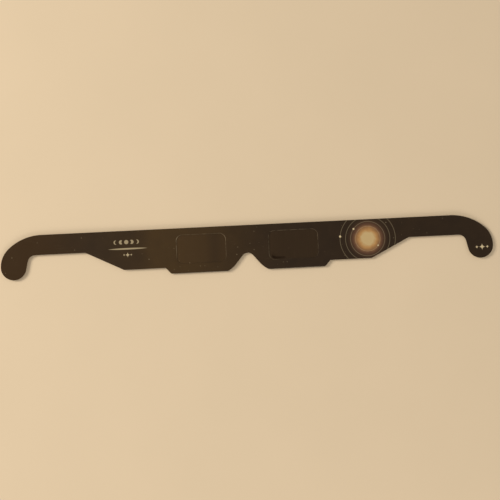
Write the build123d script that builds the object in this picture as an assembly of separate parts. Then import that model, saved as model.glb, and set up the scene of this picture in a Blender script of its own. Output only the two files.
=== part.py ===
from build123d import *
import os
from math import atan2, cos, degrees, radians, sin, sqrt, tan

# Card eclipse glasses, lying open and flat with the printed side up.
#
# One sheet of board is cut to the whole outline: a front with a nose notch, and a temple with an ear hook
# on each side of it. A flap of the same sheet is folded up behind the front along the two bottom edges
# and glued there, so each window holds its solar film between two plies. Each temple hangs on a pressed
# crease and folds behind the front, the left one first and the right one over it.
#
# X runs along the glasses, Y from the nose notch to the top edge, and Z out of the printed side. The
# origin is the middle of the front in plan, on the surface that the glasses lie on. Left and right are
# the sides seen from the printed side. Lengths are in millimetres, angles in degrees.

# Sheets
board_thickness = 0.45
film_thickness = 0.1

# Windows, and the front's margins round them
window_width = 41.0
window_height = 24.0
window_corner_radius = 5.0
window_gap = 36.2  # between the two windows, over the nose
window_side_margin = 5.4  # from a window to the front's bottom corner
window_top_margin = 5.9
window_bottom_margin = 7.8

# Step at each end of the front's bottom edge, up to the temple's root
step_length = 4.3
step_height = 5.1
step_corner_radius = 1.0

# Temples
temple_length = 136.0  # from the crease to the end of the ear hook
root_length = 34.9  # from the step to the corner where the temple starts to narrow
narrowing_length = 31.7  # along the glasses, from that corner to the slim arm
arm_height = 16.7
temple_corner_radius = 2.5

# Ear hook
hook_outer_radius = 41.8  # where the arm's top edge turns down
hook_shoulder_radius = 20.9
hook_end_radius = 10.6
hook_drop = 36.8  # from the top edge down to the hook's lowest point
hook_inner_radius = 6.7
hook_lean = 13.0  # of the hook's inner side from upright

# Nose notch
notch_mouth_width = 34.2
notch_height = 14.5
notch_tip_radius = 5.6
notch_flank_angle = 50.6
notch_flare_height = 6.0  # the flanks start to open out this far above the mouth

# Film behind each window
film_margin = 2.5
film_corner_radius = 1.5

# Flap behind the front
flap_side_inset = 0.8
flap_edge_inset = 0.6
flap_corner_radius = 3.0
flap_window_clearance = 0.7  # all round, beyond the front's window

# Adhesive between the plies
adhesive_edge_inset = 0.8
adhesive_film_gap = 0.4
adhesive_bridge_width = 22.0
adhesive_patch_gap = 1.0

# Creases that the temples turn on
crease_offset = 1.2  # outwards from the step
crease_width = 0.6
crease_clearance = 0.05
folded_clearance = 0.1  # between plies that lie on each other when the temples are folded

overrun = 5.0  # how far cutting shapes run past what they cut

# Places along the glasses, from the middle
window_middle = (window_gap + window_width) / 2
front_reach = window_gap / 2 + window_width + window_side_margin
step_reach = front_reach + step_length
crease_reach = step_reach + crease_offset
half_length = crease_reach + temple_length

# Places across the glasses, from the middle of the front
front_height = window_top_margin + window_height + window_bottom_margin
top_edge = front_height / 2
bottom_edge = -front_height / 2
window_level = top_edge - window_top_margin - window_height / 2
root_edge = bottom_edge + step_height
arm_edge = top_edge - arm_height

# Heights above the surface that the glasses lie on
film_base = board_thickness
face_base = film_base + film_thickness
face_top = face_base + board_thickness

# The bottom fold is a half turn round the plies, and the plies end where it starts.
fold_radius = face_top / 2
fold_start = bottom_edge + fold_radius

# A crease's axis lies halfway between where the temple's back is at rest and where it is when folded.
left_axis_height = (face_base - folded_clearance) / 2
right_axis_height = left_axis_height - (board_thickness + folded_clearance) / 2


def around(centre, radius, angle):
    """The point at an angle on a circle."""
    return (centre[0] + radius * cos(radians(angle)), centre[1] + radius * sin(radians(angle)))


def arc(centre, radius, start_angle, end_angle):
    """An arc between two angles on a circle."""
    middle_angle = (start_angle + end_angle) / 2
    return ThreePointArc(
        around(centre, radius, start_angle),
        around(centre, radius, middle_angle),
        around(centre, radius, end_angle),
    )


def band(low_x, high_x, low_y, high_y):
    """A plain rectangle between two places along X and two along Y."""
    middle = Pos((low_x + high_x) / 2, (low_y + high_y) / 2)
    return middle * Rectangle(high_x - low_x, high_y - low_y)


def ply(face, base, thickness):
    """A flat piece of sheet with that face, standing on a height."""
    return extrude(Pos(0, 0, base) * face, amount=thickness, dir=(0, 0, 1))


def right_half_outline():
    """The right half of the sheet's outline, before the nose notch is cut."""
    # The hook's top starts level, tightens over its shoulder and ends upright at the round end.
    end_centre = (half_length - hook_end_radius, top_edge - hook_drop + hook_end_radius)
    shoulder_centre = (half_length - hook_shoulder_radius, end_centre[1])
    outer_centre_y = top_edge - hook_outer_radius
    rise = shoulder_centre[1] - outer_centre_y
    reach = sqrt((hook_outer_radius - hook_shoulder_radius) ** 2 - rise**2)
    outer_centre = (shoulder_centre[0] - reach, outer_centre_y)
    shoulder_angle = degrees(atan2(rise, reach))

    # The hook's inner side leaves the round end and is rounded off into the arm's lower edge.
    side_end = around(end_centre, hook_end_radius, hook_lean - 180)
    corner_x = side_end[0] - (arm_edge - side_end[1]) * tan(radians(hook_lean))
    tangent_length = hook_inner_radius / tan(radians(90 + hook_lean) / 2)
    inner_centre = (corner_x - tangent_length, arm_edge - hook_inner_radius)
    side_start = around(inner_centre, hook_inner_radius, hook_lean)

    front_corner = (front_reach, bottom_edge)
    step_corner = (step_reach, root_edge)
    root_corner = (step_reach + root_length, root_edge)
    arm_corner = (root_corner[0] + narrowing_length, arm_edge)

    edges = Curve() + [
        Line((0, top_edge), (outer_centre[0], top_edge)),
        arc(outer_centre, hook_outer_radius, 90, shoulder_angle),
        arc(shoulder_centre, hook_shoulder_radius, shoulder_angle, 0),
        arc(end_centre, hook_end_radius, 0, hook_lean - 180),
        Line(side_end, side_start),
        arc(inner_centre, hook_inner_radius, hook_lean, 90),
        Polyline((inner_centre[0], arm_edge), arm_corner, root_corner, step_corner, front_corner),
        Polyline(front_corner, (0, bottom_edge), (0, top_edge)),
    ]
    face = make_face(edges)
    for corner, radius in (
        (arm_corner, temple_corner_radius),
        (root_corner, temple_corner_radius),
        (step_corner, step_corner_radius),
        (front_corner, step_corner_radius),
    ):
        face = fillet(face.vertices().sort_by_distance((*corner, 0))[0], radius)
    return face


def nose_notch():
    """The notch's face: a round tip, straight flanks, and an opened-out mouth."""
    flank = radians(notch_flank_angle)
    tip_centre = (0, bottom_edge + notch_height - notch_tip_radius)
    flank_top = around(tip_centre, notch_tip_radius, 90 - notch_flank_angle)
    flare_y = bottom_edge + notch_flare_height
    flare_start = (flank_top[0] + (flank_top[1] - flare_y) / tan(flank), flare_y)
    mouth = (notch_mouth_width / 2, bottom_edge)
    below = bottom_edge - overrun
    edges = Curve() + [
        arc(tip_centre, notch_tip_radius, 90, 90 - notch_flank_angle),
        Line(flank_top, flare_start),
        TangentArc(flare_start, mouth, tangent=(cos(flank), -sin(flank))),
        Polyline(mouth, (mouth[0], below), (0, below), (0, bottom_edge + notch_height)),
    ]
    half = make_face(edges)
    return half + mirror(half, about=Plane.YZ)


def window(side, clearance):
    """One window's face, grown by a clearance all round."""
    return Pos(side * window_middle, window_level) * RectangleRounded(
        window_width + 2 * clearance,
        window_height + 2 * clearance,
        window_corner_radius + clearance,
    )


def film_face(side, clearance):
    """The face of the film behind one window, grown by a clearance all round."""
    margin = film_margin + clearance
    return Pos(side * window_middle, window_level) * RectangleRounded(
        window_width + 2 * margin,
        window_height + 2 * margin,
        film_corner_radius + clearance,
    )


def flap_face(notch):
    """The flap behind the front, a little smaller than the front so that it never shows past it."""
    reach = front_reach - flap_side_inset
    face = band(-reach, reach, fold_start, top_edge - flap_edge_inset)
    face = fillet(face.vertices().group_by(Axis.Y)[-1], flap_corner_radius)
    return face - offset(notch, flap_edge_inset)


def make_front_panel(outline):
    """The front ply, from crease to crease, down to where the sheet turns under at the bottom edges."""
    reach = crease_reach - crease_width / 2
    face = outline & band(-reach, reach, fold_start, top_edge + overrun)
    return ply(face - window(-1, 0) - window(1, 0), face_base, board_thickness)


def make_rear_panel(flap):
    """The rear ply with its slightly larger windows."""
    face = flap - window(-1, flap_window_clearance) - window(1, flap_window_clearance)
    return ply(face, 0, board_thickness)


def make_bottom_fold(outline, side):
    """The half turn of board that joins the two plies along one bottom edge."""
    ring = Pos(fold_start, fold_radius) * (Circle(fold_radius) - Circle(film_thickness / 2))
    below = band(bottom_edge - overrun, fold_start, -overrun, face_top + overrun)
    turn = extrude(Plane.YZ * (ring & below), amount=side * half_length, dir=(1, 0, 0))
    return turn & ply(outline & band(-front_reach, front_reach, bottom_edge, fold_start), 0, face_top)


def make_film(side):
    """The solar film behind one window."""
    return ply(film_face(side, 0), film_base, film_thickness)


def make_adhesive(flap, low_x, high_x):
    """A patch of adhesive between the plies, kept clear of the film and of the edges."""
    area = offset(flap, -adhesive_edge_inset) & band(low_x, high_x, bottom_edge, top_edge)
    for side in (-1, 1):
        area = area - film_face(side, adhesive_film_gap)
    return ply(area, film_base, film_thickness)


def make_crease(side, axis_height):
    """The pressed strip of board between the front and one temple, round about the fold's axis."""
    outer_radius = face_top - axis_height
    inner_radius = face_base - axis_height
    tube = Circle(outer_radius) - Circle(inner_radius)
    section = tube & band(-crease_width / 2, crease_width / 2, 0, outer_radius)
    place = Pos(side * crease_reach, root_edge, axis_height) * Rot(90, 0, 0)
    return extrude(place * section, amount=top_edge - root_edge, dir=(0, 1, 0))


def make_temple(outline, side):
    """One temple, from its crease to the ear hook."""
    start = crease_reach + crease_width / 2 + crease_clearance
    low_x, high_x = sorted((side * start, side * (half_length + overrun)))
    face = outline & band(low_x, high_x, bottom_edge - overrun, top_edge + overrun)
    return ply(face, face_base, board_thickness)


right_half = right_half_outline()
notch = nose_notch()
outline = right_half + mirror(right_half, about=Plane.YZ) - notch
flap = flap_face(notch)
bridge_reach = adhesive_bridge_width / 2
patch_start = bridge_reach + adhesive_patch_gap

parts = {
    "front_panel": make_front_panel(outline),
    "rear_panel": make_rear_panel(flap),
    "bottom_fold_left": make_bottom_fold(outline, -1),
    "bottom_fold_right": make_bottom_fold(outline, 1),
    "filter_film_left": make_film(-1),
    "filter_film_right": make_film(1),
    "adhesive_left": make_adhesive(flap, -front_reach, -patch_start),
    "adhesive_bridge": make_adhesive(flap, -bridge_reach, bridge_reach),
    "adhesive_right": make_adhesive(flap, patch_start, front_reach),
    "crease_left": make_crease(-1, left_axis_height),
    "crease_right": make_crease(1, right_axis_height),
    "temple_left": make_temple(outline, -1),
    "temple_right": make_temple(outline, 1),
}

os.makedirs("parts", exist_ok=True)
for name, shape in parts.items():
    export_step(shape, f"parts/{name}.step")
print(f"crease axes: x {crease_reach:.3f}, z {left_axis_height:.3f} left, {right_axis_height:.3f} right")
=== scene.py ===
from math import cos, exp, radians, sin

import bmesh
import bpy
from mathutils import Matrix, Vector, noise


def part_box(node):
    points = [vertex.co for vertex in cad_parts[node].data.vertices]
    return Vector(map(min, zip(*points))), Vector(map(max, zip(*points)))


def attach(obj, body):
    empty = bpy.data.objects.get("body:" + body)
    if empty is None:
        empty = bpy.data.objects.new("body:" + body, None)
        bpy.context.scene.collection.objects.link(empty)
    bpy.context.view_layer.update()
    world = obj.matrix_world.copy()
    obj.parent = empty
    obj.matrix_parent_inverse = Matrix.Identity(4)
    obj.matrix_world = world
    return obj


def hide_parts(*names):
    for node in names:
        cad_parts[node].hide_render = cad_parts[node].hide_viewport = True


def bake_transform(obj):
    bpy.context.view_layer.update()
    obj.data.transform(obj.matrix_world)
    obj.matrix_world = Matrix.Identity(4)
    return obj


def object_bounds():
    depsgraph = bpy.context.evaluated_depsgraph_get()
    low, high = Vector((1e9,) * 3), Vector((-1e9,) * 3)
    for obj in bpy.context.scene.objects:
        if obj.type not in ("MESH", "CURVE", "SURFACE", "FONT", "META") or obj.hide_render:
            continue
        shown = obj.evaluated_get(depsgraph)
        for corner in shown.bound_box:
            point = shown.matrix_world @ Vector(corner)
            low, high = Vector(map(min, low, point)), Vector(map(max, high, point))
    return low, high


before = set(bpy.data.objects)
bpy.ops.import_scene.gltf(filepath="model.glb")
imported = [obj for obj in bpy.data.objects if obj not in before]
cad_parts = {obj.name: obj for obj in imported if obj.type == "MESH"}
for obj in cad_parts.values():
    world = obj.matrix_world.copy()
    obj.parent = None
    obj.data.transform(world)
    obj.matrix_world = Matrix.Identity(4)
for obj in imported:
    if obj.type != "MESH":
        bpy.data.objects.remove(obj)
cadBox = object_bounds()
mm = 0.001


class Wire:  # one output of a shader node; Python's operators on it add Math nodes
    def __init__(self, finish, socket):
        self.finish = finish
        self.socket = socket

    def math(self, operation, first, second=0.0, clamp=False):
        settings = {"operation": operation, "use_clamp": clamp}
        return self.finish.add("ShaderNodeMath", settings, {0: first, 1: second})

    def __add__(self, other):
        return self.math("ADD", self, other)

    def __radd__(self, other):
        return self.math("ADD", other, self)

    def __sub__(self, other):
        return self.math("SUBTRACT", self, other)

    def __rsub__(self, other):
        return self.math("SUBTRACT", other, self)

    def __mul__(self, other):
        return self.math("MULTIPLY", self, other)

    def __rmul__(self, other):
        return self.math("MULTIPLY", other, self)

    def __truediv__(self, other):
        return self.math("DIVIDE", self, other)

    def __rtruediv__(self, other):
        return self.math("DIVIDE", other, self)

    def __pow__(self, other):
        return self.math("POWER", self, other)

    def __rpow__(self, other):
        return self.math("POWER", other, self)

    def __abs__(self):
        return self.math("ABSOLUTE", self)

    def clamped(self):
        return self.math("ADD", self, 0.0, clamp=True)

    def rise(self, low, high):  # 0 below low and 1 above high, smoothly; falls where low is above high
        settings = {"interpolation_type": "SMOOTHSTEP"}
        values = {"Value": self, "From Min": low, "From Max": high}
        return self.finish.add("ShaderNodeMapRange", settings, values)


speckShape = {
    "least": 0.45,  # the smallest one's reach, as a share of half the size
    "spread": 0.7,  # how much more the largest one's is
    "rim": 6,  # the size is that many times the soft rim's width
    "picked": 0.98,  # near 1, it keeps the choice of the cells that hold one sharp
}


class Finish:  # one material, on Object coordinates, so that the print runs on across the joins
    def __init__(self, name):
        self.material = bpy.data.materials.new(name)
        self.material.use_nodes = True
        self.tree = self.material.node_tree
        self.tree.nodes.clear()
        self.place = self.add("ShaderNodeTexCoord", out="Object")
        self.x = self.add("ShaderNodeSeparateXYZ", values={0: self.place}, out="X") / mm
        self.y = self.add("ShaderNodeSeparateXYZ", values={0: self.place}, out="Y") / mm

    def add(self, kind, settings=None, values=None, out=0):
        node = self.tree.nodes.new(kind)
        for key, value in (settings or {}).items():
            if key == "stops":
                self.fillRamp(node.color_ramp, value)
            else:
                setattr(node, key, value)
        for key, value in (values or {}).items():
            if isinstance(value, Wire):
                self.tree.links.new(value.socket, node.inputs[key])
            else:
                node.inputs[key].default_value = value
        return Wire(self, node.outputs[out]) if node.outputs else None

    def fillRamp(self, ramp, stops):
        while len(ramp.elements) < len(stops):
            ramp.elements.new(0.5)
        for element, (position, colour) in zip(ramp.elements, stops):
            element.position = position
            element.color = (*colour, 1.0)

    def drawnOut(self, along, across, turn=0.0):  # the place, in units of a length and a width
        scale = (1 / along, 1 / across, 1 / across)
        values = {"Vector": self.place, "Rotation": (0.0, 0.0, turn), "Scale": scale}
        return self.add("ShaderNodeMapping", None, values)

    def flattened(self, wide, thick):  # the same for layers that lie flat
        scale = (1 / wide, 1 / wide, 1 / thick)
        return self.add("ShaderNodeMapping", None, {"Vector": self.place, "Scale": scale})

    def noiseAt(self, where, scale=1.0, detail=2.0, out=0):
        values = {"Vector": where, "Scale": scale, "Detail": detail}
        return self.add("ShaderNodeTexNoise", None, values, out)

    def cloud(self, size, detail=2.0, out=0):  # soft noise with blotches of that size
        return self.noiseAt(self.place, 1 / size, detail, out)

    def blend(self, below, above, share):
        values = {0: share}
        for socket, colour in ((6, below), (7, above)):  # the Mix node's colour sockets
            values[socket] = colour if isinstance(colour, Wire) else (*colour, 1.0)
        return self.add("ShaderNodeMix", {"data_type": "RGBA"}, values, out=2)

    def specks(self, spacing, size, share):  # scattered dots, one in a share of the cells
        ragged = self.cloud(size, out=1)
        wobble = self.add("ShaderNodeVectorMath", {"operation": "SCALE"}, {0: ragged, "Scale": size})
        where = self.add("ShaderNodeVectorMath", {"operation": "ADD"}, {0: self.place, 1: wobble})
        grid = {"Vector": where, "Scale": 1 / spacing}
        cells = ("ShaderNodeTexVoronoi", {"voronoi_dimensions": "2D"}, grid)
        distance = self.add(*cells, out="Distance")
        chance = self.add(*cells, out="Color")
        pick = self.add("ShaderNodeSeparateColor", None, {0: chance}, out="Red")
        large = self.add("ShaderNodeSeparateColor", None, {0: chance}, out="Green")
        reach = (large * speckShape["spread"] + speckShape["least"]) * (size / spacing / 2)
        dots = (reach - distance).rise(0.0, size / spacing / speckShape["rim"])
        return dots * pick.rise(1 - share, 1 - share * speckShape["picked"])

    def bump(self, height):  # height in millimetres
        values = {"Height": height, "Distance": mm, "Strength": 1.0}
        return self.add("ShaderNodeBump", None, values)

    def shade(self, fixed, varying):
        shader = self.add("ShaderNodeBsdfPrincipled", None, {**fixed, **varying})
        self.add("ShaderNodeOutputMaterial", None, {"Surface": shader})
        return self.material


# Printed design. Lengths are in millimetres from the middle of the front.

inks = {
    "black": (0.0150, 0.0084, 0.0050),
    "blackLight": (0.0190, 0.0110, 0.0062),
    "paintedSheen": (0.0445, 0.0268, 0.0088),  # painted sheen: the black's lighter tone over the front's left half
    "sheenAtLeftEnd": (0.0265, 0.0115, 0.0002),  # the painted sheen's tone towards the left ear hook
    "cream": (0.57, 0.54, 0.43),
    "sunlight": (0.51, 0.43, 0.27),
    "amber": (0.42, 0.26, 0.12),
    "rust": (0.115, 0.062, 0.045),
    "edgeSoftness": 0.11,
    "pointSoftness": 0.04,
}

moonRow = {
    "x": -100.8,
    "y": 9.4,
    "pitch": 4.4,
    "radius": 1.75,
    "shadows": (1.1, 2.1, 9.0, -2.1, -1.1),  # how far right of each moon its dark disc stands
    "strength": 0.54,
}

taperedLine = {"x": -99.8, "y": 3.8, "reach": 17.2, "thickness": 1.5, "strength": 0.59, "loss": 0.09}

# each one's place, reach and strength
sparkles = {
    "left_temple": ((-103.1, -1.3, 1.2, 0.72), (-100.1, -1.3, 2.5, 0.72), (-97.1, -1.3, 1.2, 0.72)),
    "right_temple": ((192.3, -8.8, 1.7, 1.0), (196.7, -8.8, 3.1, 1.0), (201.1, -8.8, 1.7, 1.0)),
}

sun = {
    "x": 101.0,
    "y": 2.6,
    "core": 5.0,
    "halo": 20.0,
    "haloStrength": 1.6,
    "rustAt": 0.30,  # the halo's brightness where it has this tone
    "amberAt": 0.72,
    "haze": 3.4 * mm,
    "hazeLeast": 0.75,
    "hazeSpread": 0.5,
    "line": 0.22,  # half the width of an orbit's line
    "lineStrength": 0.20,
}

# each orbit's radius, and its planet's angle and size
orbits = ((10.4, -0.62, 0.60), (14.4, 2.50, 0.80), (18.6, -0.75, 0.50), (23.2, 3.02, 0.90))

starStrength = 0.66  # for each millimetre of radius

# each star's place and radius
stars = {
    "left_temple": (
        (-174.8, 12.3, 0.29), (-137.9, 14.6, 0.35), (-144.0, 4.8, 0.34), (-196.4, 0.8, 0.36),
        (-202.3, -11.7, 0.29), (-82.5, -5.8, 0.38), (-88.0, -1.0, 0.25),
    ),
    "film": (
        (-48.7, -10.5, 0.36), (-57.4, -8.4, 0.25),
    ),
    "front": (
        (-61.3, 2.2, 0.28), (-39.9, -13.5, 0.31), (-36.2, -13.5, 0.28), (-25.5, -14.9, 0.24),
        (13.2, 0.1, 0.19), (-8.1, 0.8, 0.34), (-9.1, -5.3, 0.38), (2.3, 3.4, 0.30), (5.5, -2.0, 0.34),
        (6.1, 13.3, 0.31), (8.6, 16.8, 0.24), (29.5, -13.5, 0.28), (32.7, -13.5, 0.30),
        (-61.9, -15.4, 0.27), (-57.0, -13.2, 0.25),
    ),
    "right_temple": (
        (116.9, 15.4, 0.40), (122.8, 2.2, 0.31), (164.5, 16.5, 0.31), (82.0, -7.6, 0.22),
        (81.0, -10.4, 0.25), (150.8, 5.0, 0.31),
    ),
}


def distance(finish, x, y):
    dx, dy = finish.x - x, finish.y - y
    return (dx * dx + dy * dy) ** 0.5


def disc(finish, x, y, radius):
    soft = min(inks["edgeSoftness"], radius / 2)
    return distance(finish, x, y).rise(radius + soft, radius - soft)


def sparkle(finish, x, y, reach):  # a star with four thin points
    spread = abs(finish.x - x) ** 0.5 + abs(finish.y - y) ** 0.5
    soft = inks["pointSoftness"]
    return spread.rise(reach ** 0.5 + soft, reach ** 0.5 - soft)


def starryGround(finish, ground, part):
    marks = 0.0
    for x, y, radius in stars[part]:
        marks = disc(finish, x, y, radius) * (radius * starStrength) + marks
    for x, y, reach, strength in sparkles.get(part, ()):
        marks = sparkle(finish, x, y, reach) * strength + marks
    return finish.blend(ground, inks["cream"], marks.clamped())


def printLeftTemple(finish, ground):  # phases of the moon over a line that thins out at both ends
    marks = 0.0
    middle = (len(moonRow["shadows"]) - 1) / 2
    for place, shadow in enumerate(moonRow["shadows"]):
        x = moonRow["x"] + (place - middle) * moonRow["pitch"]
        lit = disc(finish, x, moonRow["y"], moonRow["radius"])
        dark = disc(finish, x + shadow, moonRow["y"], moonRow["radius"])
        marks = lit * (1 - dark) * moonRow["strength"] + marks
    dx, dy = finish.x - taperedLine["x"], finish.y - taperedLine["y"]
    ends = abs(dx / taperedLine["reach"])
    half = (1 - ends ** 3).clamped() * (taperedLine["thickness"] / 2)
    line = (half - abs(dy)).rise(0.0, 2 * inks["edgeSoftness"])
    marks = line * (taperedLine["strength"] - ends * taperedLine["loss"]) + marks
    colour = finish.blend(ground, inks["cream"], marks.clamped())
    return starryGround(finish, colour, "left_temple")


def printFront(finish, ground):
    return starryGround(finish, ground, "front")


def printRightTemple(finish, ground):  # a sun with its orbits
    far = distance(finish, sun["x"], sun["y"])
    glow = (1 - (far - sun["core"]) / (sun["halo"] - sun["core"])).clamped()
    haze = finish.cloud(sun["haze"], 3.0) * sun["hazeSpread"] + sun["hazeLeast"]
    stops = [(0.0, inks["black"]), (sun["rustAt"], inks["rust"])]
    stops += [(sun["amberAt"], inks["amber"]), (1.0, inks["sunlight"])]
    colour = finish.add("ShaderNodeValToRGB", {"stops": stops}, {0: glow * glow * haze})
    colour = finish.blend(ground, colour, (glow * sun["haloStrength"]).clamped())
    colour = finish.blend(colour, inks["sunlight"], disc(finish, sun["x"], sun["y"], sun["core"]))
    soft = inks["edgeSoftness"]
    marks = 0.0
    for radius, angle, size in orbits:
        line = abs(far - radius).rise(sun["line"] + soft, sun["line"] - soft)
        planet = disc(finish, sun["x"] + radius * cos(angle), sun["y"] + radius * sin(angle), size)
        marks = line * sun["lineStrength"] + planet + marks
    colour = finish.blend(colour, inks["cream"], marks.clamped())
    return starryGround(finish, colour, "right_temple")


# Finishes. Scuffs, fibres and smears are given as length, width and turn, and dust and flecks as
# spacing, size and share. A range holds the values of the noise between which a mark comes in, a
# share says how far it covers what lies below, and depths are in millimetres.

printedBoard = {
    "fixed": {"Specular IOR Level": 0.30},
    "blotch": 11 * mm,
    "blotchRange": (0.3, 0.7),
    "scuffs": ((14 * mm, 0.30 * mm, 0.25), (9 * mm, 0.22 * mm, 2.5)),
    "scuffRange": (0.66, 0.80),
    "scuffPatch": 17 * mm,
    "scuffPatchRange": (0.50, 0.66),
    "scuffTone": (0.16, 0.13, 0.095),
    "scuffShare": 0.22,
    "wornPatch": 4.5 * mm,
    "wornRange": (0.33, 0.62),
    "wornAndHighlightRim": (0.25, 1.0),
    "evenFrom": 0.57,  # an edge with more wear and painted highlight than this is less patchy
    "evenness": 0.35,
    "wornAndHighlightTone": (0.30, 0.265, 0.215),
    "wornAndHighlightShare": 0.80,
    "dust": (5 * mm, 0.30 * mm, 0.14),
    "dustTone": (0.34, 0.29, 0.20),
    "dustShare": 0.7,
    "rough": {"plain": 0.43, "grain": 0.14, "wornAndHighlight": 0.2, "scuff": 0.08},
    "grain": 0.28 * mm,
    "wave": 26 * mm,
    "depth": {"grain": 0.006, "wave": 0.35, "dust": 0.03},
}

# where the painted sheen over the black print comes in, from right to left, in millimetres, and how
# strong it is
sheenSpread = {
    "front": (38, -60),
    "least": 0.6,
    "patchy": 0.5,  # how much the blotches add to it
    "root": (-78, -95),
    "rootLoss": 0.6,  # it is weaker on the temple
    "arm": (-95, -135),
    "armLoss": 0.2,
    "end": (-120, -185),
    "endShare": 0.9,
}


# black print, with a painted sheen that grows over the front's left half and the left temple
def blackPrintWithSheen(finish):
    blotch = finish.cloud(printedBoard["blotch"], 3.0)
    light = blotch.rise(*printedBoard["blotchRange"])
    colour = finish.blend(inks["black"], inks["blackLight"], light)
    atRoot = finish.x.rise(*sheenSpread["root"]) * sheenSpread["rootLoss"]
    onArm = finish.x.rise(*sheenSpread["arm"]) * sheenSpread["armLoss"]
    paintedSheen = finish.x.rise(*sheenSpread["front"]) * (1 - (atRoot + onArm))
    paintedSheen = paintedSheen * (blotch * sheenSpread["patchy"] + sheenSpread["least"])
    colour = finish.blend(colour, inks["paintedSheen"], paintedSheen)
    return finish.blend(colour, inks["sheenAtLeftEnd"], finish.x.rise(*sheenSpread["end"]) * sheenSpread["endShare"])


def wornAndHighlightRims(finish):  # worn pale and patchy, with painted highlight on the window rims, as strong as the mesh's rim values say
    rim = finish.add("ShaderNodeAttribute", {"attribute_name": "rim"}, out="Fac")
    even = (rim - printedBoard["evenFrom"]).clamped() * printedBoard["evenness"]
    patchy = finish.cloud(printedBoard["wornPatch"], 4.0) + even
    return rim.rise(*printedBoard["wornAndHighlightRim"]) * patchy.rise(*printedBoard["wornRange"])


def printedFinish(name, artwork=None):
    finish = Finish(name)
    colour = blackPrintWithSheen(finish)
    if artwork:
        colour = artwork(finish, colour)
    patches = finish.cloud(printedBoard["scuffPatch"], 1.0).rise(*printedBoard["scuffPatchRange"])
    scuffs = 0.0
    for scuff in printedBoard["scuffs"]:
        streak = finish.noiseAt(finish.drawnOut(*scuff)).rise(*printedBoard["scuffRange"])
        scuffs = streak * patches + scuffs
    scuffed = scuffs.clamped() * printedBoard["scuffShare"]
    colour = finish.blend(colour, printedBoard["scuffTone"], scuffed)
    wornAndHighlight = wornAndHighlightRims(finish)
    colour = finish.blend(colour, printedBoard["wornAndHighlightTone"], wornAndHighlight * printedBoard["wornAndHighlightShare"])
    dust = finish.specks(*printedBoard["dust"])
    colour = finish.blend(colour, printedBoard["dustTone"], dust * printedBoard["dustShare"])
    grain = finish.cloud(printedBoard["grain"], 3.0)
    wave = finish.cloud(printedBoard["wave"], 1.0)
    rough = printedBoard["rough"]
    dull = grain * rough["grain"] + rough["plain"] + wornAndHighlight * rough["wornAndHighlight"] - scuffs * rough["scuff"]
    depth = printedBoard["depth"]
    height = grain * depth["grain"] + wave * depth["wave"] + dust * depth["dust"]
    varying = {"Base Color": colour, "Roughness": dull, "Normal": finish.bump(height)}
    return finish.shade(printedBoard["fixed"], varying)


bareBoard = {
    "fixed": {"Specular IOR Level": 0.25},
    "fibres": ((2.2 * mm, 0.16 * mm, 0.3), (1.8 * mm, 0.14 * mm, 1.9)),
    "fibreRange": (0.36, 0.62),
    "dark": (0.34, 0.30, 0.235),
    "pale": (0.46, 0.42, 0.34),
    "stain": 13 * mm,
    "stainRange": (0.35, 0.7),
    "stainTone": (0.37, 0.33, 0.26),
    "stainShare": 0.4,
    "darkFlecks": (2.6 * mm, 0.34 * mm, 0.30),
    "darkFleckTone": (0.10, 0.085, 0.07),
    "darkFleckShare": 0.7,
    "paleFlecks": (3.3 * mm, 0.40 * mm, 0.22),
    "paleFleckTone": (0.62, 0.58, 0.50),
    "paleFleckShare": 0.6,
    "rough": {"plain": 0.80, "fibre": 0.1},
    "wave": 30 * mm,
    "depth": {"fibre": 0.03, "wave": 0.3},
}


def reverseFinish():  # the sheet's unprinted back: unbleached board with fibres and flecks
    finish = Finish("boardReverse")
    one, other = (finish.noiseAt(finish.drawnOut(*each), detail=3.0) for each in bareBoard["fibres"])
    weave = (one + other) * 0.5
    stain = finish.cloud(bareBoard["stain"]).rise(*bareBoard["stainRange"])
    darkFlecks = finish.specks(*bareBoard["darkFlecks"]) * bareBoard["darkFleckShare"]
    paleFlecks = finish.specks(*bareBoard["paleFlecks"]) * bareBoard["paleFleckShare"]
    colour = finish.blend(bareBoard["dark"], bareBoard["pale"], weave.rise(*bareBoard["fibreRange"]))
    colour = finish.blend(colour, bareBoard["stainTone"], stain * bareBoard["stainShare"])
    colour = finish.blend(colour, bareBoard["darkFleckTone"], darkFlecks)
    colour = finish.blend(colour, bareBoard["paleFleckTone"], paleFlecks)
    depth, rough = bareBoard["depth"], bareBoard["rough"]
    height = weave * depth["fibre"] + finish.cloud(bareBoard["wave"], 1.0) * depth["wave"]
    varying = {"Base Color": colour, "Normal": finish.bump(height)}
    varying["Roughness"] = weave * rough["fibre"] + rough["plain"]
    return finish.shade(bareBoard["fixed"], varying)


cutEdge = {
    "ply": 0.045 * mm,
    "plyLength": 1.1 * mm,
    "plyRange": (0.32, 0.66),
    "dark": (0.15, 0.125, 0.095),
    "pale": (0.33, 0.29, 0.22),
    "dirt": 2.5 * mm,
    "dirtRange": (0.55, 0.75),
    "dirtTone": (0.06, 0.048, 0.036),
    "dirtShare": 0.5,
    "rough": {"plain": 0.8, "ply": 0.1},
    "depth": 0.02,
}


def coreFinish():  # the cut edge, where the sheet's plies show as fine layers
    finish = Finish("boardCore")
    plies = finish.noiseAt(finish.flattened(cutEdge["plyLength"], cutEdge["ply"]))
    dirt = finish.cloud(cutEdge["dirt"]).rise(*cutEdge["dirtRange"]) * cutEdge["dirtShare"]
    colour = finish.blend(cutEdge["dark"], cutEdge["pale"], plies.rise(*cutEdge["plyRange"]))
    colour = finish.blend(colour, cutEdge["dirtTone"], dirt)
    dull = plies * cutEdge["rough"]["ply"] + cutEdge["rough"]["plain"]
    relief = finish.bump(plies * cutEdge["depth"])
    varying = {"Base Color": colour, "Roughness": dull, "Normal": relief}
    return finish.shade(bareBoard["fixed"], varying)
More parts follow.
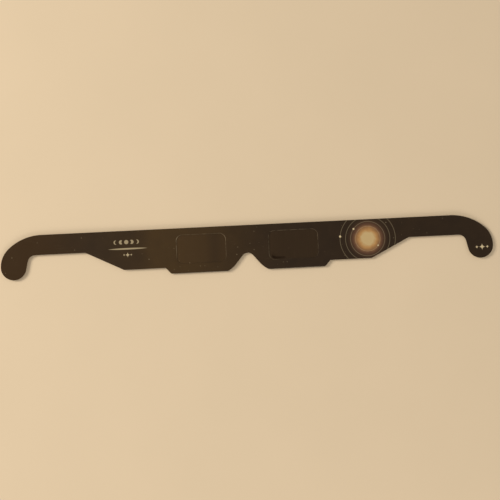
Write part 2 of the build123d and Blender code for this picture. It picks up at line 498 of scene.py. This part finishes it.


# the dark line inside the right window, painted shade and dark reflection of the film's buckle over a
# real dip, and the window's corner that the film has come away from
buckle = {
    "x": 26.0,
    "y": -9.6,
    "reach": 6.8,
    "rise": 2.6,  # how far the line's left end bends up along the corner
    "half": 1.5,
    "start": (-0.98, -0.68),  # where on its reach it comes in
    "end": (0.98, 0.60),  # and thins out
    "side": (1.0, 0.25),  # the same across it
    "strength": 0.66,
    "loss": 0.26,  # towards its right end
    "shadeStart": (-0.95, -0.75),  # the weak shade above its left end
    "shadeEnd": (0.2, -0.6),
    "shadeTop": (2.9, 0.5),
    "shadeStrength": 0.22,
    "corner": (19.0, -8.6),
    "loose": 3.4,
}

filmSheet = {
    "fixed": {"Specular IOR Level": 0.4},
    "left": (0.0455, 0.0264, 0.0080),  # painted reflection: tones from the lighter left film's outer edge to the darker right window
    "right": (0.0183, 0.0090, 0.0021),
    "leftAt": -60,
    "toneLength": 88,
    "darkReflectionTone": (0.0140, 0.0060, 0.0014),  # a painted darker reflection in a band down the left film
    "darkReflectionAt": -27.5,
    "darkReflectionHalf": 9,
    "darkReflectionShare": 0.42,
    "drawn": (0.9 * mm, 45 * mm),
    "drawnRange": (0.4, 0.9),
    "drawnTone": (0.032, 0.018, 0.009),
    "drawnShare": 0.5,
    "buckleShadeTone": (0.0100, 0.0036, 0.0001),
    "buckleShadeMetal": 0.7,
    "smear": (13 * mm, 5 * mm, 0.6),
    "smearRange": (0.52, 0.78),
    "dust": (7 * mm, 0.36 * mm, 0.10),
    "dustTone": (0.30, 0.26, 0.18),
    "dustShare": 0.6,
    "rough": {"plain": 0.36, "smear": 0.08, "dust": 0.2},
    "depth": 0.004,
}


def buckleRise(x):  # how far the dark line bends up at x
    return buckle["rise"] * max(0.0, (buckle["x"] - x) / buckle["reach"]) ** 3


def paintedBuckleShade(finish):  # painted shade: the buckle's dark line, with a weak shade above its left end
    along = (finish.x - buckle["x"]) / buckle["reach"]
    bend = (0 - along).clamped() ** 3 * buckle["rise"]
    across = (finish.y - buckle["y"] - bend) / buckle["half"]
    line = along.rise(*buckle["start"]) * along.rise(*buckle["end"])
    line = line * abs(across).rise(*buckle["side"])
    shade = along.rise(*buckle["shadeStart"]) * along.rise(*buckle["shadeEnd"])
    shade = (1 - line) * (shade * across.rise(*buckle["shadeTop"])) * buckle["shadeStrength"]
    return line * (buckle["strength"] - along * buckle["loss"]) + shade


def filmFinish():  # black polymer with faint drawn lines and a few soft smears, painted reflection tones and the buckle's painted shade
    finish = Finish("solarFilm")
    drawn = finish.noiseAt(finish.drawnOut(*filmSheet["drawn"]))
    lines = drawn.rise(*filmSheet["drawnRange"]) * filmSheet["drawnShare"]
    smear = finish.noiseAt(finish.drawnOut(*filmSheet["smear"]), detail=3.0)
    smear = smear.rise(*filmSheet["smearRange"])
    reflectionFalloff = ((finish.x - filmSheet["leftAt"]) / filmSheet["toneLength"]).clamped()
    band = (1 - abs(finish.x - filmSheet["darkReflectionAt"]) / filmSheet["darkReflectionHalf"]).rise(0.0, 1.0)
    dark = paintedBuckleShade(finish)
    dust = finish.specks(*filmSheet["dust"])
    colour = finish.blend(filmSheet["left"], filmSheet["right"], reflectionFalloff)
    colour = finish.blend(colour, filmSheet["darkReflectionTone"], band * filmSheet["darkReflectionShare"])
    colour = finish.blend(colour, filmSheet["drawnTone"], lines)
    colour = finish.blend(colour, filmSheet["buckleShadeTone"], dark)
    colour = finish.blend(colour, filmSheet["dustTone"], dust * filmSheet["dustShare"])
    colour = starryGround(finish, colour, "film")
    rough = filmSheet["rough"]
    # the painted shade also takes the film's reflection away there
    varying = {"Base Color": colour, "Metallic": dark * filmSheet["buckleShadeMetal"]}
    varying["Roughness"] = smear * rough["smear"] + dust * rough["dust"] + rough["plain"]
    varying["Normal"] = finish.bump(drawn * filmSheet["depth"])
    return finish.shade(filmSheet["fixed"], varying)


adhesivePatch = {
    "fixed": {"Specular IOR Level": 0.5},
    "skin": 1.5 * mm,
    "dull": (0.62, 0.58, 0.48),
    "pale": (0.74, 0.71, 0.62),
    "rough": {"plain": 0.35, "skin": 0.2},
    "depth": 0.03,
}


def adhesiveFinish():
    finish = Finish("adhesive")
    skin = finish.cloud(adhesivePatch["skin"], 3.0)
    colour = finish.blend(adhesivePatch["dull"], adhesivePatch["pale"], skin)
    dull = skin * adhesivePatch["rough"]["skin"] + adhesivePatch["rough"]["plain"]
    relief = finish.bump(skin * adhesivePatch["depth"])
    varying = {"Base Color": colour, "Roughness": dull, "Normal": relief}
    return finish.shade(adhesivePatch["fixed"], varying)


core = coreFinish()
reverse = reverseFinish()
frontPrint = printedFinish("printedFront", printFront)
plainPrint = printedFinish("printedBoard")
leftPrint = printedFinish("printedLeftTemple", printLeftTemple)
rightPrint = printedFinish("printedRightTemple", printRightTemple)
solarFilm = filmFinish()
adhesive = adhesiveFinish()
print("finishes made")


# Board pieces, from the solids' own outlines

cutBoard = {
    "rim": 0.06 * mm,  # rounding that the cutting die leaves
    "windowRim": 0.17 * mm,
    "band": 0.55 * mm,  # how far wear, and the windows' painted highlight, reach in from an edge
    "near": 0.02 * mm,  # points closer to a seam than this lie on it
    "weld": 0.001 * mm,
    "straight": radians(1),  # faces that bend less than this become one
}

# how far up or down a face's normal points, from 0 for an upright face to 1 for a level one
slope = {"upright": 0.1, "edge": 0.2, "lying": 0.9, "nearlyLevel": 0.99, "level": 0.999}

# how worn the edges are, from 0 to 1, plus a painted highlight on the window rims that grows from
# their bottoms towards their tops and sides; a window's sides are its left (-1) and its right (1)
wearAndHighlight = {
    "outer": 0.375,
    "windowTop": 0.61,
    "windowLow": 0.29,
    "windowSide": {("left", -1): 1.0, ("left", 1): 0.75, ("right", -1): 0.625, ("right", 1): 0.60},
    "sideFrom": 19 * mm,
    "looseCorner": 0.66,
    "underLine": 0.49,
    "from": -8.5 * mm,  # height where the window's wear and painted highlight start to grow
    "over": 5 * mm,
}


def mergedCopy(node):
    bm = bmesh.new()
    bm.from_mesh(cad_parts[node].data)
    bmesh.ops.remove_doubles(bm, verts=bm.verts, dist=cutBoard["weld"])
    bmesh.ops.dissolve_limit(bm, angle_limit=cutBoard["straight"], verts=bm.verts, edges=bm.edges)
    return bm


def finished(bm, name, materials, replaced, body=None):
    mesh = bpy.data.meshes.new(name)
    bm.to_mesh(mesh)
    bm.free()
    for material in materials:
        mesh.materials.append(material)
    piece = bpy.data.objects.new(name, mesh)
    bpy.context.scene.collection.objects.link(piece)
    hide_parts(replaced)
    if body:
        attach(piece, body)
    return piece


def windowAt(point):  # the window that holds the point, and how far right of its middle it lies
    for side in ("left", "right"):
        low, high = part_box(f"filter_film_{side}")
        if low.x < point.x < high.x and low.y < point.y < high.y:
            return side, point.x - (low.x + high.x) / 2
    return None, 0.0


def edgeWearAndHighlight(point):
    side, aside = windowAt(point)
    if not side:
        return wearAndHighlight["outer"]
    place = point.xy / mm
    if (place - Vector(buckle["corner"])).length < buckle["loose"]:
        return wearAndHighlight["looseCorner"]
    if side == "right" and place.y < buckle["y"] and place.x < buckle["x"] + buckle["reach"]:
        return wearAndHighlight["underLine"]
    most = wearAndHighlight["windowTop"]
    if abs(aside) > wearAndHighlight["sideFrom"]:
        most = wearAndHighlight["windowSide"][side, 1 if aside > 0 else -1]
    height = min(max((point.y - wearAndHighlight["from"]) / wearAndHighlight["over"], 0.0), 1.0)
    return wearAndHighlight["windowLow"] + (most - wearAndHighlight["windowLow"]) * height


def sheetSide(up):  # a face's material: 0 printed, 1 cut edge, 2 unprinted back
    return 0 if up > slope["edge"] else 1 if up > -slope["edge"] else 2


def roundRims(bm, edges, width):
    settings = {"offset": width, "segments": 3, "profile": 0.5, "material": -1}
    bmesh.ops.bevel(bm, geom=edges, affect="EDGES", clamp_overlap=True, **settings)


def makeBoard(name, node, body, printed, printedUp=1, seams=()):
    bm = mergedCopy(node)

    def onSeam(item):
        for axis, place in seams:
            if all(abs(vert.co[axis] - place) < cutBoard["near"] for vert in item.verts):
                return True
        return False

    def isRim(edge):
        tilts = sorted(abs(face.normal.z) for face in edge.link_faces)
        return tilts[0] < slope["upright"] and tilts[1] > slope["lying"] and not onSeam(edge)

    rims = [edge for edge in bm.edges if isRim(edge)]
    windowRims = [edge for edge in rims if windowAt(edge.verts[0].co)[0]]
    outerRims = [edge for edge in rims if edge not in windowRims]
    if windowRims:
        roundRims(bm, windowRims, cutBoard["windowRim"])
    roundRims(bm, outerRims, cutBoard["rim"])
    bmesh.ops.dissolve_degenerate(bm, dist=cutBoard["weld"], edges=bm.edges)
    bm.normal_update()
    # the seams are open while the band of wear and painted highlight is inset, so that it runs on
    # across them
    bmesh.ops.delete(bm, geom=[face for face in bm.faces if onSeam(face)], context="FACES_ONLY")
    flat = [face for face in bm.faces if face.normal.z * printedUp > slope["level"]]
    settings = {"thickness": cutBoard["band"], "use_boundary": False, "use_even_offset": False}
    bmesh.ops.inset_region(bm, faces=flat, **settings)
    rim = bm.verts.layers.float.new("rim")
    inner = {vert for face in flat for vert in face.verts}
    for vert in bm.verts:
        vert[rim] = 0.0 if vert in inner else edgeWearAndHighlight(vert.co)
    bmesh.ops.holes_fill(bm, edges=bm.edges)
    bmesh.ops.recalc_face_normals(bm, faces=bm.faces)
    for face in bm.faces:
        face.material_index = sheetSide(face.normal.z * printedUp)
        face.smooth = abs(face.normal.z) < slope["nearlyLevel"]
    finished(bm, name, (printed, core, reverse), node, body)


frontLow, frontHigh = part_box("front_panel")
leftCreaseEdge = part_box("temple_left")[1].x
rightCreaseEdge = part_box("temple_right")[0].x
frontSeams = ((0, frontLow.x), (0, frontHigh.x), (1, frontLow.y))
makeBoard("frontFace", "front_panel", "front", frontPrint, 1, frontSeams)
makeBoard("rearFlap", "rear_panel", "front", plainPrint, -1, ((1, frontLow.y),))
makeBoard("leftTemple", "temple_left", "left_temple", leftPrint, 1, ((0, leftCreaseEdge),))
makeBoard("rightTemple", "temple_right", "right_temple", rightPrint, 1, ((0, rightCreaseEdge),))
print("front and temples made")


# Bottom folds: the half turn of the sheet under the front

def makeFold(side):
    node = f"bottom_fold_{side}"
    bm = mergedCopy(node)
    bm.normal_update()
    low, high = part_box(node)
    middle = (low.z + high.z) / 2
    rim = bm.verts.layers.float.new("rim")
    for vert in bm.verts:
        vert[rim] = wearAndHighlight["outer"]
    for face in bm.faces:
        centre = face.calc_center_median()
        outwards = face.normal.y * (centre.y - high.y) + face.normal.z * (centre.z - middle)
        isEnd = abs(face.normal.x) > slope["edge"]
        face.material_index = 1 if isEnd else 0 if outwards > 0 else 2
        face.smooth = not isEnd
    materials = (plainPrint, core, reverse)
    finished(bm, f"bottomFold{side.title()}", materials, node, "front")


for side in ("left", "right"):
    makeFold(side)
print("bottom folds made")


# Creases: a pressed groove on the printed side with its bead behind

crease = {"columns": 16, "rows": 24, "groove": 0.035 * mm, "bead": 0.035 * mm, "width": 0.14 * mm}


def makeCrease(side, sign, templeEdge, printed):
    node = f"crease_{side}"
    low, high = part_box(node)
    boardLow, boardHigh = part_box(f"temple_{side}")
    inner, outer = sorted((abs(frontHigh.x), abs(templeEdge)))
    centre = sign * (inner + outer) / 2
    middle = (low.y + high.y) / 2
    bm = bmesh.new()
    bmesh.ops.create_grid(bm, x_segments=crease["columns"], y_segments=crease["rows"], size=0.5)
    bmesh.ops.scale(bm, vec=(outer - inner, high.y - low.y, 1.0), verts=bm.verts)
    bmesh.ops.translate(bm, vec=(centre, middle, boardHigh.z), verts=bm.verts)
    made = bmesh.ops.extrude_face_region(bm, geom=bm.faces[:])
    under = [item for item in made["geom"] if isinstance(item, bmesh.types.BMVert)]
    bmesh.ops.translate(bm, vec=(0, 0, boardLow.z - boardHigh.z), verts=under)
    bmesh.ops.recalc_face_normals(bm, faces=bm.faces)
    half = (high.y - low.y) / 2 - cutBoard["near"]
    ends = {vert for vert in bm.verts if abs(vert.co.y - middle) > half} - set(under)
    roundRims(bm, [edge for edge in bm.edges if ends.issuperset(edge.verts)], cutBoard["rim"])
    for vert in bm.verts:
        dip = exp(-((vert.co.x - centre) / crease["width"]) ** 2)
        isTop = vert.co.z > (boardLow.z + boardHigh.z) / 2
        vert.co.z -= dip * (crease["groove"] if isTop else crease["bead"])
    bm.normal_update()
    for face in bm.faces:
        face.material_index = sheetSide(face.normal.z)
        face.smooth = abs(face.normal.z) > slope["edge"]
    piece = finished(bm, f"{side}Crease", (printed, core, reverse), node)
    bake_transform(piece)


makeCrease("left", -1, leftCreaseEdge, leftPrint)
makeCrease("right", 1, rightCreaseEdge, rightPrint)
print("creases made")


# Films: clamped between the plies and gently buckled in the windows

film = {
    "seeds": {"left": 0.011, "right": 0.037},
    "step": 0.4 * mm,  # the mesh's spacing
    "held": 2.5 * mm,  # between the plies, all round
    "fade": 5 * mm,  # over which the waves grow, inwards from there
    "lift": 0.16 * mm,
    "size": 15 * mm,
    "dip": 0.24 * mm,  # under the dark line
    "dipWidth": 0.7,  # as a share of the line's
    "dipFade": 1.0 * mm,
}


def makeFilm(side, seed):
    node = f"filter_film_{side}"
    low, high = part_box(node)
    bm = mergedCopy(node)
    for axis in (0, 1):
        normal = Vector((1 - axis, axis, 0))
        count = int((high[axis] - low[axis]) / film["step"])
        for cut in range(1, count):
            place = low.lerp(high, cut / count)
            everything = bm.verts[:] + bm.edges[:] + bm.faces[:]
            bmesh.ops.bisect_plane(bm, geom=everything, plane_co=place, plane_no=normal)
    for vert in bm.verts:
        aside = min(vert.co.x - low.x, high.x - vert.co.x)
        inside = min(aside, vert.co.y - low.y, high.y - vert.co.y) - film["held"]
        share = min(max(inside / film["fade"], 0.0), 1.0)
        share = share * share * (3 - 2 * share)
        wave = noise.noise(Vector((vert.co.x, vert.co.y, seed)) / film["size"])
        lift = wave * film["lift"] * share
        if side == "right" and inside > 0:
            x, y = vert.co.x / mm, vert.co.y / mm
            along = (x - buckle["x"]) / buckle["reach"]
            across = (y - buckle["y"] - buckleRise(x)) / (buckle["half"] * film["dipWidth"])
            dip = exp(-along * along - across * across) * film["dip"]
            lift -= dip * min(inside / film["dipFade"], 1.0)
        vert.co.z += lift
    for face in bm.faces:
        face.smooth = abs(face.normal.z) > slope["edge"]
    finished(bm, f"{side}Film", (solarFilm,), node, "front")


for side, seed in film["seeds"].items():
    makeFilm(side, seed)
print("films made")

for part in ("adhesive_left", "adhesive_bridge", "adhesive_right"):
    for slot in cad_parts[part].material_slots:
        slot.material = adhesive
print("adhesive finished")


# Floor, light and camera

stage = {
    "half": 10.0,
    "drop": 1.25 * mm,  # below the glasses, for the temples to fold into
    "fixed": {"Specular IOR Level": 0.2},
    "blotch": 90 * mm,
    "dull": (0.69, 0.655, 0.60),
    "pale": (0.73, 0.69, 0.635),
    "patch": 40 * mm,
    "rough": {"plain": 0.7, "patch": 0.1},
}


def floorFinish():
    finish = Finish("paleFloor")
    colour = finish.blend(stage["dull"], stage["pale"], finish.cloud(stage["blotch"], 3.0))
    dull = finish.cloud(stage["patch"]) * stage["rough"]["patch"] + stage["rough"]["plain"]
    return finish.shade(stage["fixed"], {"Base Color": colour, "Roughness": dull})


def makeFloor():
    bm = bmesh.new()
    bmesh.ops.create_grid(bm, x_segments=2, y_segments=2, size=stage["half"])
    bmesh.ops.translate(bm, vec=(0, 0, -stage["drop"]), verts=bm.verts)
    mesh = bpy.data.meshes.new("floor")
    bm.to_mesh(mesh)
    bm.free()
    mesh.materials.append(floorFinish())
    floor = bpy.data.objects.new("floor", mesh)
    bpy.context.scene.collection.objects.link(floor)


lamps = {
    "key": {"place": (-1.5, 0.60, 1.10), "size": 0.7, "power": 27.0, "colour": (1.0, 0.80, 0.55)},
    "fill": {"place": (0.15, -1.3, 0.7), "size": 0.6, "power": 5.5, "colour": (1.0, 0.80, 0.56)},
}

studio = {"colour": (1.0, 0.82, 0.59, 1.0), "strength": 0.5}


def makeLamp(name, values):  # aimed at the middle of the front
    light = bpy.data.lights.new(name, "AREA")
    light.energy = values["power"]
    light.size = values["size"]
    light.color = values["colour"]
    lamp = bpy.data.objects.new(name, light)
    lamp.location = values["place"]
    lamp.rotation_euler = (-Vector(values["place"])).to_track_quat("-Z", "Y").to_euler()
    bpy.context.scene.collection.objects.link(lamp)


def makeSurroundings():
    world = bpy.data.worlds.new("studio")
    world.use_nodes = True
    background = world.node_tree.nodes["Background"]
    background.inputs["Color"].default_value = studio["colour"]
    background.inputs["Strength"].default_value = studio["strength"]
    bpy.context.scene.world = world
    bpy.context.scene.view_settings.view_transform = "Standard"


camera = {
    "frame": 500,  # the photograph's side in pixels
    "pixel": 0.836 * mm,
    "origin": (247.4, 247.5),  # where the middle of the front lies in it
    "turn": radians(2.78),  # the glasses' right end is the higher one
    "lean": radians(0.75),  # the left end is a little nearer
    "distance": 0.75,
    "sensor": 36.0,
    "near": 0.01,
}


def makeCamera():
    lens = bpy.data.cameras.new("camera")
    lens.sensor_width = camera["sensor"]
    lens.lens = camera["sensor"] * camera["distance"] / (camera["frame"] * camera["pixel"])
    lens.clip_start = camera["near"]
    eye = bpy.data.objects.new("camera", lens)
    turned = Matrix.Rotation(-camera["turn"], 4, "Z")
    right = (camera["frame"] / 2 - camera["origin"][0]) * camera["pixel"]
    down = (camera["frame"] / 2 - camera["origin"][1]) * camera["pixel"]
    aim = Matrix.Translation(turned @ Vector((right, -down, cadBox[1].z)))
    back = Matrix.Translation((0, 0, camera["distance"]))
    eye.matrix_world = aim @ turned @ Matrix.Rotation(-camera["lean"], 4, "Y") @ back
    bpy.context.scene.collection.objects.link(eye)
    bpy.context.scene.camera = eye


makeFloor()
for name, values in lamps.items():
    makeLamp(name, values)
makeSurroundings()
makeCamera()
print("floor, lamps and camera made")
